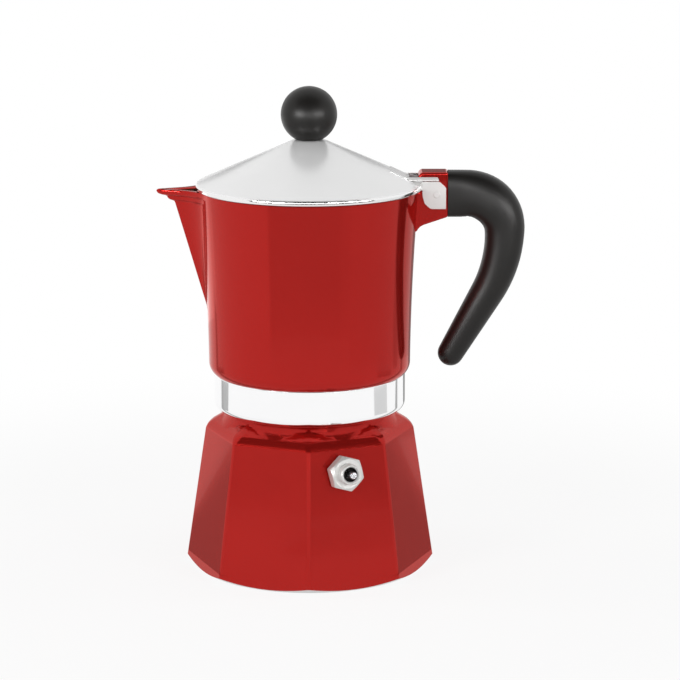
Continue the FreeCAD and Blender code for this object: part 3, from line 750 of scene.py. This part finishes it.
def buildJug():
    s = Values(**jugSizes)
    centreX = s.lowRadius - s.edgeRound
    startAngle = atan2(s.bandTop - s.edgeHeight, s.bandRadius - centreX)
    turns = [startAngle * (1 - step / s.edgeSteps) for step in range(s.edgeSteps + 1)]
    edge = [(centreX + s.edgeRound * cos(turn), s.edgeHeight + s.edgeRound * sin(turn)) for turn in turns]
    outerRows = evenRows(*s.outerRows) + [level[0] for level in spoutSizes["ridge"][1:]]
    outside = [(jugRadius(height), height) for height in outerRows]
    lip = [(s.topRadius - inward, s.rim - down) for inward, down in s.lip]
    innerRows = s.innerTop + evenRows(*s.innerRows)
    inside = [(jugRadius(height) - s.wall, height) for height in innerRows]
    domeFoot = s.columnHigh - s.columnTop
    dome = [(s.columnTop * cos(radians(turn)), domeFoot + s.columnTop * sin(radians(turn)))
            for turn in range(0, 90, 15)]
    roof = s.columnHigh - s.columnRoof
    profile = [(0, roof), (s.columnBore, roof), (s.columnBore, s.recess), (s.recessRadius, s.seat),
               (s.skirtBore, s.seat), (s.skirtBore, s.skirtLow, s.skirtEdge, 2),
               (s.skirtOuter, s.skirtLow, s.skirtEdge, 2), (s.skirtOuter, s.bandTop)]
    profile += edge + outside + lip + inside
    profile += [(jugRadius(s.floor) - s.wall, s.floor, s.floorEdge, 4),
                (s.columnBase, s.floor, s.columnEdge, 4)] + dome + [(0, s.columnHigh)]
    piece = spunPiece("jugCasting", profile, 240, False)
    clearSelection()
    bpy.ops.mesh.primitive_cube_add(size=mm, location=(0, 0, s.exitHeight * mm), scale=s.exitSize)
    exits = named("columnExits")
    settle(exits)
    combine(piece, exits, "DIFFERENCE")
    pullSpout(piece)
    dressed(piece, "enamel", "poured")
    paintFaces(piece, 1, jugInside)
    # the channel's walls take the poured casting, darkened there with painted shade
    paintFaces(piece, 1, channelInside)
    bracket = buildBracket()
    dressed(bracket, "enamel")
    joined(piece, bracket)
    shaded(piece, 35, True)
    handIn(piece, "collector", "red_paint", "collector")


def jugInside(centre, normal):
    s = Values(**jugSizes)
    if centre.xy.length >= jugRadius(max(centre.z, s.bareLow)) - s.bareDepth:
        return False
    if centre.z > spoutSizes["foot"] and centre.x < spoutSizes["zoneX"] and abs(centre.y) < spoutSizes["zoneY"]:
        return normal.x > 0.0
    return True


def channelInside(centre, normal):
    # the two walls of the pouring channel, which face each other
    if centre.x > spoutSizes["channelX"] or centre.z < spoutSizes["innerFoot"] or normal.z > 0.6:
        return False
    return normal.y * centre.y < 0 or normal.x > 0.3


buildJug()


# lid: spun cone with rolled rim, notch for the bracket and a forked strap
lidSizes = dict(
    rim=37.1, low=126.6, coneLow=128.2, band=1.6, sheet=1.096, apexRadius=5.0, apex=142.6, apexEdge=0.8,
    rimStep=0.5, rimFold=(0.35, 0.02), rimTop=0.25, rimEdges=(0.3, 0.5, 0.4), notchRadius=10.4, pinX=41.6,
    pinZ=125.2, screwHole=2.1)
strapSizes = dict(
    inner=4.8, outer=5.8, edge=0.15, edgeAngle=40,
    cheek=[(35.3, 126.7), (36.9, 126.6), (36.9, 124.7), (37.6, 122.3), (39.5, 120.5), (44.6, 120.5),
        (44.6, 127.5), (42.4, 129.55), (31.6, 129.55), (31.6, 127.6)],
    cheekRounds=[(2, 0.9, 4), (4, 0.7, 3), (5, 0.3, 3), (6, 0.5, 3), (7, 0.5, 3)],
    flange=[(29.0, 129.75), (42.3, 129.75), (42.3, 130.15), (29.0, 130.15)], flangeOver=0.2, flangeRise=0.75,
    flangeEnd=42.0, flangeTrim=0.4, flangeEdge=0.12,
    gusset=[(31.4, 126.7), (36.8, 126.7), (36.8, 129.5), (31.4, 130.1)], gussetSink=0.4, gussetReach=5.9,
    gussetRoot=1.0, gussetTip=(34.2, 11.7, 127.3),
    pad=[(26.5, 127.0), (36.9, 126.7), (36.9, 129.6), (31.2, 130.85)], padStart=26.5, padLift=0.05, padInset=0.1)


def lidHeight(radius):
    s = Values(**lidSizes)
    return s.coneLow + (s.rim - radius) * (s.apex - s.coneLow) / (s.rim - s.apexRadius)


def buildStrapSide():
    s = Values(**strapSizes)
    cheek = slabPiece("strapCheek", s.cheek, s.inner, s.outer, s.cheekRounds)
    softenEdges(cheek, s.edge, 2, s.edgeAngle)
    flange = slabPiece("strapFlange", s.flange, s.inner, s.outer + s.flangeOver)
    startEdit(flange)
    pickVerts(lambda co: co.y < s.inner + touch)
    moveBy((0, 0, s.flangeRise))
    pickVerts(lambda co: co.x > s.flangeEnd and co.y < s.inner + touch)
    moveBy((-s.flangeTrim, 0, 0))
    endEdit()
    softenEdges(flange, s.flangeEdge, 2, s.edgeAngle)
    gusset = slabPiece("strapGusset", s.gusset, s.outer - s.gussetSink, s.outer + s.gussetReach)
    startEdit(gusset)
    pickVerts(lambda co: co.y > s.outer + s.gussetRoot)
    bpy.ops.mesh.merge(type="CENTER")
    pickVerts(lambda co: co.y > s.outer + s.gussetRoot)
    mesh = bmesh.from_edit_mesh(gusset.data)
    tip = [vert.co / mm for vert in mesh.verts if vert.select][0]
    moveBy(Vector(s.gussetTip) - tip)
    faceOutward()
    endEdit()
    return joined(cheek, flange, gusset)


def mirrorAcross(piece):
    makeActive(piece)
    bpy.ops.object.duplicate()
    copy = bpy.context.object
    copy.scale.y = -1
    settle(copy)
    startEdit(copy)
    faceOutward()
    endEdit()
    return copy


def acrossBar(name, radius, x, z, halfWidth):
    clearSelection()
    bpy.ops.mesh.primitive_cylinder_add(
        vertices=96, radius=radius * mm, depth=2 * halfWidth * mm, location=(x * mm, 0, z * mm),
        rotation=(pi / 2, 0, 0))
    piece = named(name)
    settle(piece)
    return piece


def buildLid():
    s = Values(**lidSizes)
    strap = Values(**strapSizes)
    bead = s.rim - s.band
    stepIn = s.rim - s.rimStep
    foldIn, foldUp = s.rimFold
    topEdge, lowEdge, beadEdge = s.rimEdges
    ceiling = s.apex - s.sheet
    shell = spunPiece("lidCone", [
        (s.screwHole, s.apex), (s.apexRadius, s.apex, s.apexEdge, 5), (stepIn, lidHeight(stepIn)),
        (s.rim - foldIn, s.coneLow + foldUp), (s.rim, s.coneLow - s.rimTop, topEdge, 4),
        (s.rim, s.low, lowEdge, 5), (bead, s.low, beadEdge, 4), (bead, lidHeight(bead) - s.sheet),
        (s.apexRadius, ceiling, s.apexEdge, 4), (s.screwHole, ceiling)], 224)
    padTop = [(strap.padStart, lidHeight(strap.padStart) + strap.padLift)]
    padHalf = strap.outer - strap.padInset
    pad = slabPiece("strapPad", strap.pad + padTop, -padHalf, padHalf)
    under = spunPiece("lidRoom", [
        (0, s.low - 1), (bead, s.low - 1), (bead, lidHeight(bead) - s.sheet), (s.apexRadius, ceiling),
        (0, ceiling)], 160, False)
    combine(pad, under, "DIFFERENCE")
    combine(shell, pad, "UNION")
    notch = acrossBar("strapNotch", s.notchRadius, s.pinX, s.pinZ, strap.inner)
    combine(shell, notch, "DIFFERENCE")
    near = buildStrapSide()
    dressed(near, "stamped_strap")
    far = mirrorAcross(near)
    dressed(shell, "lid")
    piece = joined(shell, near, far)
    shaded(piece, 28, True)
    handIn(piece, "lid", "satin_aluminium", "lid")


buildLid()


# hinge rivet, knob and gasket
pinSizes = dict(radius=1.15, x=41.6, z=125.2, half=5.95, edge=0.22)
knobSizes = dict(radius=9.2, centre=150.8, seat=142.6, edge=0.5)
gasketSizes = dict(inner=22.7, outer=28.1, low=64.8, high=68.0, edge=0.6)


def buildPin():
    s = Values(**pinSizes)
    piece = acrossBar("hingeRivet", s.radius, s.x, s.z, s.half)
    softenEdges(piece, s.edge, 4)
    dressed(piece, "stamped_strap")
    shaded(piece, 40, True)
    handIn(piece, "collector", "steel", "hinge_pin")


def buildKnob():
    s = Values(**knobSizes)
    clearSelection()
    bpy.ops.mesh.primitive_uv_sphere_add(
        segments=96, ring_count=64, radius=s.radius * mm, location=(0, 0, s.centre * mm))
    piece = named("knobBall")
    settle(piece)
    startEdit(piece)
    pickAll()
    bpy.ops.mesh.bisect(
        plane_co=(0, 0, s.seat * mm), plane_no=(0, 0, 1), clear_inner=True, use_fill=True)
    endEdit()
    softenEdges(piece, s.edge, 4, 40)
    dressed(piece, "black_plastic")
    shaded(piece, 40)
    handIn(piece, "lid", "black_plastic", "knob")


def buildGasket():
    s = Values(**gasketSizes)
    piece = spunPiece("sealRing", [
        (s.inner, s.low, s.edge, 4), (s.outer, s.low, s.edge, 4),
        (s.outer, s.high, s.edge, 4), (s.inner, s.high, s.edge, 4)], 160)
    dressed(piece, "gasket_rubber")
    shaded(piece, 50)
    handIn(piece, "seal", "gasket_rubber", "gasket")


buildPin()
buildKnob()
buildGasket()


# handle: root on the bracket, tight bend, long sweep, rounded tip
gripSizes = dict(
    faceX=45.3, rootZ=124.8, root=6.5, bendRadius=12.3, sweepRadius=41.4, sweepAngle=30.0,
    sides=48, rings=60, tipTurns=(12, 24, 36, 47, 57, 66, 74, 81, 86), screwX=51.8, screwHead=2.8,
    screwLow=110, screwTop=119.05,
    # distance along the grip, height, width, squareness
    stations=[(0.0, 15.3, 9.0, 3.2), (3.6, 15.3, 9.4, 3.0), (9.0, 15.2, 11.6, 2.6), (16.2, 14.8, 13.4, 2.4),
        (25.8, 13.1, 13.5, 2.2), (36.7, 12.1, 13.2, 2.1), (47.5, 11.0, 12.0, 2.0), (59.3, 9.8, 10.4, 2.0),
        (71.1, 8.6, 8.6, 2.0)])


def gripSpine(distance):
    s = Values(**gripSizes)
    bendLength = s.bendRadius * pi / 2
    sweepLength = s.sweepRadius * radians(s.sweepAngle)
    bendX = s.faceX + s.root
    bendZ = s.rootZ - s.bendRadius
    if distance <= s.root:
        return Vector((s.faceX + distance, 0, s.rootZ)), 0.0
    distance -= s.root
    if distance <= bendLength:
        turn = distance / s.bendRadius
        return Vector((bendX + s.bendRadius * sin(turn), 0, bendZ + s.bendRadius * cos(turn))), turn
    distance -= bendLength
    turn = min(distance, sweepLength) / s.sweepRadius
    sweepX = bendX + s.bendRadius - s.sweepRadius
    spot = Vector((sweepX + s.sweepRadius * cos(turn), 0, bendZ - s.sweepRadius * sin(turn)))
    tail = max(0.0, distance - sweepLength)
    return spot + Vector((-sin(turn), 0, -cos(turn))) * tail, pi / 2 + turn


def gripValue(distance, column):
    # smooth curve through the stations
    rows = gripSizes["stations"]
    for index in range(len(rows) - 1):
        if distance <= rows[index + 1][0] or index == len(rows) - 2:
            start, end = rows[index], rows[index + 1]
            before = rows[max(0, index - 1)]
            after = rows[min(len(rows) - 1, index + 2)]
            span = end[0] - start[0]
            share = min(1.0, (distance - start[0]) / span)
            leanStart = (end[column] - before[column]) / (end[0] - before[0]) * span
            leanEnd = (after[column] - start[column]) / (after[0] - start[0]) * span
            cube, square = share ** 3, share ** 2
            return ((2 * cube - 3 * square + 1) * start[column] + (cube - 2 * square + share) * leanStart
                    + (3 * square - 2 * cube) * end[column] + (cube - square) * leanEnd)


def gripRing(distance, shrink):
    spot, turn = gripSpine(distance)
    length = gripSizes["stations"][-1][0]
    height, width, square = [gripValue(min(distance, length), column) for column in (1, 2, 3)]
    outward = Vector((sin(turn), 0, cos(turn)))
    ring = []
    for step in range(gripSizes["sides"]):
        angle = 2 * pi * step / gripSizes["sides"]
        side = copysign(abs(cos(angle)) ** (2 / square), cos(angle)) * (width * shrink) / 2
        rise = copysign(abs(sin(angle)) ** (2 / square), sin(angle)) * (height * shrink) / 2
        ring.append(spot + Vector((0, side, 0)) + outward * rise)
    return ring


def buildGrip():
    s = Values(**gripSizes)
    length = s.stations[-1][0]
    rings = [gripRing(length * step / s.rings, 1.0) for step in range(s.rings + 1)]
    tip = s.stations[-1][1] / 2
    for turn in map(radians, s.tipTurns):
        rings.append(gripRing(length + tip * sin(turn), cos(turn)))
    clearSelection()
    bpy.ops.mesh.primitive_circle_add(vertices=s.sides, radius=s.root * mm, fill_type="NOTHING")
    piece = named("gripHandle")
    startEdit(piece)
    pickAll()
    for row in range(len(rings) - 1):
        extrudeBy((0, 0, 1))
    data = piece.data
    mesh = bmesh.from_edit_mesh(data)
    mesh.verts.ensure_lookup_table()
    for number, vert in enumerate(mesh.verts):
        row, column = divmod(number, s.sides)
        vert.co = rings[row][column] * mm
    bmesh.update_edit_mesh(data)
    capEnds(piece)
    bore = roundBar("screwBore", s.screwHead, s.screwLow, s.screwTop, 48)
    placed(bore, Matrix.Translation((s.screwX * mm, 0, 0)))
    combine(piece, bore, "DIFFERENCE")
    dressed(piece, "black_plastic")
    shaded(piece, 40)
    handIn(piece, "collector", "black_plastic", "handle")


buildGrip()


# valve body: chamfered six-sided nut with a round nose, screwed into a flat
nutSizes = dict(
    acrossFlats=10.4, low=0.8, high=4.6, edge=0.25, chamfer=0.9, chamferOut=0.2, nose=3.4, noseLow=1.8,
    noseEnd=7.2, noseEdge=0.5, thread=3.9, threadLow=-8.0, bore=2.35, boreLow=-5.0, mouth=0.4, mouthOut=0.5,
    mouthPast=0.1, inlet=1.2)


def buildValve():
    s = Values(**nutSizes)
    flat = s.acrossFlats / 2
    corner = flat / cos(pi / 6)
    nut = roundBar("valveNut", corner, s.low, s.high, 6)
    placed(nut, Matrix.Rotation(radians(valveSizes["turn"]), 4, "Z"))
    softenEdges(nut, s.edge, 3)
    top = s.high + samePoint
    cone = spunPiece("nutCone", [
        (0, s.low - 1), (corner + 1, s.low - 1), (corner + s.chamferOut, s.high - s.chamfer),
        (flat - s.chamfer / 2, top), (0, top)], 96, False)
    combine(nut, cone, "INTERSECT")
    stem = spunPiece("valveStem", [
        (0, s.threadLow), (s.thread, s.threadLow), (s.thread, s.noseLow), (s.nose, s.noseLow),
        (s.nose, s.noseEnd, s.noseEdge, 5), (0, s.noseEnd)], 96, False)
    combine(nut, stem, "UNION")
    end = s.noseEnd + s.mouthPast
    bore = spunPiece("valveBore", [
        (0, s.threadLow - 1), (s.inlet, s.threadLow - 1), (s.inlet, s.boreLow), (s.bore, s.boreLow),
        (s.bore, s.noseEnd - s.mouth), (s.bore + s.mouthOut, end), (0, end)], 64, False)
    combine(nut, bore, "DIFFERENCE")
    dressed(nut, "dull_nickel", "oiled_steel")
    paintFaces(nut, 1, lambda centre, normal: (  # painted shade in the bore, but not on the ring of the nose
        centre.xy.length < s.bore + touch / 2 and (abs(normal.z) < 0.5 or centre.z < 0)
        and s.boreLow - touch < centre.z < s.noseEnd - s.mouth - touch / 2))
    placed(nut, valveMatrix())
    shaded(nut, 30, True)
    handIn(nut, "boiler", "plated_brass", "valve_body")


buildValve()


# valve spring: wound wire, built at its resting length
springSizes = dict(coil=1.80, wire=0.2, sides=10, low=-3.55, high=2.75, turns=5, release=1.2)


def buildSpring():
    s = Values(**springSizes)
    around = [radians(360 / s.sides * step) for step in range(s.sides)]
    outline = [(s.coil + s.wire * cos(turn), s.low + s.wire * sin(turn)) for turn in around]
    piece = woundPiece("valveCoil", outline, (s.high - s.low) / s.turns, s.turns, 40)
    # the spring gets the bore's painted shade
    dressed(piece, "oiled_steel")
    placed(piece, valveMatrix())
    shaded(piece, 40)
    handIn(piece, "boiler", "steel", "valve_spring")
    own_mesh(piece)


buildSpring()


# finishes of the CAD nodes: those that stay, and those that a modelled piece replaces
# the valve retainer gets the bore's painted shade
keptNodes = {
    "valve_washer": "pressed_fibre", "valve_plunger": "bright_steel", "valve_retainer": "oiled_steel",
    "funnel": "drawn_sheet", "basket_screen": "drawn_sheet", "filter_plate": "drawn_sheet",
    "handle_screw": "bright_steel", "knob_insert": "turned_brass", "knob_washer": "bright_steel",
    "knob_screw": "bright_steel"}
hiddenNodes = {
    "boiler": "enamel", "collector": "enamel", "collar_band": "collar", "lid": "lid", "hinge_pin": "bright_steel",
    "knob": "black_plastic", "gasket": "gasket_rubber", "handle": "black_plastic", "valve_body": "dull_nickel",
    "valve_spring": "oiled_steel"}
for node, look in (keptNodes | hiddenNodes).items():
    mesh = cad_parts[node].data
    for index in range(len(mesh.materials)):
        mesh.materials[index] = looks[look]
print("kept CAD nodes", len(keptNodes))


# floor, light and camera
stageSizes = dict(
    floor=6.0, floorDrop=0.0002, floorDark=colour(0.86, 0.86, 0.86), floorLight=colour(0.88, 0.88, 0.88),
    fleck=3.0, white=colour(1, 1, 1), whiteShare=0.86, shadowReach=(0.12, 0.30), worldLight=0.55)


def seenAsWhite(sheet):
    # camera, mirror and glass rays
    node = sheet.add("ShaderNodeLightPath", {}, []).socket.node
    names = ("Is Camera Ray", "Is Glossy Ray", "Is Transmission Ray")
    seen = [Flow(sheet, node.outputs[name]) for name in names]
    return (seen[0] + seen[1] + seen[2]).clamped()


def buildFloor():
    s = Values(**stageSizes)
    clearSelection()
    bpy.ops.mesh.primitive_plane_add(size=s.floor, location=(0, 0, -s.floorDrop))
    floor = named("studioFloor")
    sheet = Finish("studio_floor")
    shade = sheet.blend(sheet.noise(s.fleck, 2.0), s.floorDark, s.floorLight)
    diffuse = sheet.add("ShaderNodeBsdfDiffuse", {}, {"Color": shade})
    glow = sheet.add("ShaderNodeEmission", {}, {"Color": s.white, "Strength": 1.0})
    away = sheet.radius().above(*s.shadowReach)
    share = seenAsWhite(sheet) * (s.whiteShare + away * (1.0 - s.whiteShare))
    floor.data.materials.append(sheet.done(sheet.add("ShaderNodeMixShader", {}, [share, diffuse, glow])))


def buildWorld():
    world = bpy.data.worlds.new("studioWorld")
    bpy.context.scene.world = world
    world.use_nodes = True
    sheet = Finish("studio_world")
    bpy.data.materials.remove(sheet.material)
    sheet.tree = world.node_tree
    sheet.tree.nodes.clear()
    white = seenAsWhite(sheet)
    strength = white * (1.0 - stageSizes["worldLight"]) + stageSizes["worldLight"]
    surface = sheet.add("ShaderNodeBackground", {}, {"Color": stageSizes["white"], "Strength": strength})
    sheet.add("ShaderNodeOutputWorld", {}, {"Surface": surface})


# cards that only mirror rays meet: the unlit room around the table, and bright strips for edges and highlights
unlit = 0.015
tableCards = {  # on the table: bearing range in degrees, distance range, brightness
    "frontTable": ((-132, -56), (0.33, 0.74), 0.77),
    "frontSoft": ((-56, -46), (0.33, 0.74), 0.83),
    "rightSide": ((-46, 16), (0.31, 0.90), 0.89),
    "rightStrip": ((16, 25), (0.30, 0.90), 0.62),
    "rightEdge": ((25, 60), (0.31, 0.90), 0.78),
    "leftEdge": ((104, 138), (0.37, 0.90), 1.45),
    "leftFade": ((138, 146), (0.37, 0.90), 1.25),
    "leftSoft": ((146, 156), (0.37, 0.90), 1.05),
    "ringSoft": ((147, 161), (0.19, 0.29), 0.50),
    "backTable": ((60, 98), (0.10, 0.95), 0.30),
    "rightSoft": ((-10, 12), (0.19, 0.29), 0.70)}
facetCards = {  # on the table beside the pot: corner points, brightness
    "leftFacet": (((-0.0463, 0.011), (-0.0272, -0.035), (-0.300, 0.205), (-0.316, 0.252)), 0.43),
    "rightFacet": (((0.0463, 0.011), (0.0272, -0.035), (0.300, 0.205), (0.316, 0.252)), 0.43)}
wallCards = {  # standing: two foot points, low and high edge, brightness
    "frontWall": ((-0.60, -0.95), (0.60, -0.95), (0.35, 1.2), unlit),
    "leftWall": ((-0.97, -0.52), (-0.60, -0.95), (0.13, 1.2), unlit),
    "leftLow": ((-0.97, -0.52), (-0.60, -0.95), (0.0, 0.13), 0.78),
    "rightWall": ((0.97, -0.52), (0.60, -0.95), (0.13, 1.2), unlit),
    "rightLow": ((0.97, -0.52), (0.60, -0.95), (0.0, 0.13), 0.64),
    "crownWall": ((0.028, 0.16), (0.056, 0.16), (0.142, 0.20), 0.25),
    "lipWall": ((-0.070, 0.16), (-0.040, 0.16), (0.146, 0.182), 0.20),
    "leftLight": ((-0.76, -0.52), (-0.38, -0.84), (0.176, 0.33), 30.0),
    "midLight": ((-0.36, -0.85), (0.25, -0.88), (0.176, 0.30), 12.0),
    "rightLight": ((0.29, -0.87), (0.80, -0.44), (0.176, 0.33), 20.0),
    "leftFlag": ((-0.252, -0.163), (-0.126, -0.272), (0.085, 0.136), unlit),
    "midFlag": ((-0.126, -0.272), (0.080, -0.289), (0.085, 0.136), unlit),
    "rightFlag": ((0.080, -0.289), (0.272, -0.126), (0.085, 0.136), unlit)}
hoodCard = dict(left=-0.97, right=0.97, front=-0.95, back=-0.10, height=1.2)  # overhead
cardShared = dict(
    lift=0.001, liftStep=0.0002, arcSteps=8, felt=40.0, feltDark=colour(0.92, 0.92, 0.92),
    feltLight=colour(1.0, 1.0, 1.0))


def arcCorners(bearings, reach):
    first, last = map(radians, bearings)
    steps = cardShared["arcSteps"]
    turns = [first + (last - first) * step / steps for step in range(steps + 1)]
    near, far = [[(away * cos(turn), away * sin(turn)) for turn in turns] for away in reach]
    return near + far[::-1]


def cardSurface(level):
    sheet = Finish("card_%d" % round(level * 1000))
    shade = sheet.blend(sheet.noise(cardShared["felt"], 2.0), cardShared["feltDark"], cardShared["feltLight"])
    return sheet.done(sheet.add("ShaderNodeEmission", {}, {"Color": shade, "Strength": level}))


def addCard(name, corners, level):
    piece = drawLine("card_" + name, [[step / mm for step in corner] for corner in corners], True)
    pickAll()
    bpy.ops.mesh.edge_face_add()
    endEdit()
    piece.data.materials.append(cardSurface(level))
    piece.visible_camera = False
    piece.visible_diffuse = False
    piece.visible_shadow = False
    piece.visible_transmission = False


def buildCards():
    flat = {name: (arcCorners(bearings, reach), level) for name, (bearings, reach, level) in tableCards.items()}
    for number, (name, (corners, level)) in enumerate((flat | facetCards).items()):
        lift = cardShared["lift"] + cardShared["liftStep"] * number  # no two at one height
        addCard(name, [(x, y, lift) for x, y in corners], level)
    for name, (first, last, (low, high), level) in wallCards.items():
        addCard(name, [(*first, low), (*last, low), (*last, high), (*first, high)], level)
    s = Values(**hoodCard)
    corners = [(s.left, s.front), (s.right, s.front), (s.right, s.back), (s.left, s.back)]
    addCard("hood", [(x, y, s.height) for x, y in corners], unlit)


lampTarget = (0, 0, 0.085)
lampSizes = {
    "key": {"place": (-0.70, -0.70, 0.50), "size": (0.32, 0.32), "power": 2.75},
    "fill": {"place": (0.70, -0.70, 0.50), "size": (0.32, 0.32), "power": 1.5},
    "leftSide": {"place": (-0.95, 0.10, 0.32), "size": (0.30, 0.30), "power": 2.0},
    "rightSide": {"place": (0.95, 0.10, 0.32), "size": (0.30, 0.30), "power": 1.6}}


def aimed(place, target):
    return (Vector(target) - Vector(place)).to_track_quat("-Z", "Y").to_euler()


def buildLamps():
    for name, lamp in lampSizes.items():
        bpy.ops.object.light_add(type="AREA", location=lamp["place"])
        light = named(name)
        light.data.shape = "RECTANGLE"
        light.data.size, light.data.size_y = lamp["size"]
        light.data.energy = lamp["power"]
        light.visible_glossy = False  # the cards make the highlights
        light.rotation_euler = aimed(lamp["place"], lampTarget)


cameraSizes = dict(place=(0.01009, -0.900, 0.275), target=(0.01009, 0.0, 0.0756), lens=147.4, sensor=36.0)


def buildCamera():
    bpy.ops.object.camera_add(location=cameraSizes["place"])
    camera = named("photoCamera")
    camera.data.lens = cameraSizes["lens"]
    camera.data.sensor_width = cameraSizes["sensor"]
    camera.rotation_euler = aimed(cameraSizes["place"], cameraSizes["target"])
    bpy.context.scene.camera = camera


clearSelection()
buildFloor()
buildWorld()
buildCards()
buildLamps()
buildCamera()
bpy.context.scene.view_settings.view_transform = "Standard"
print("stage ready")
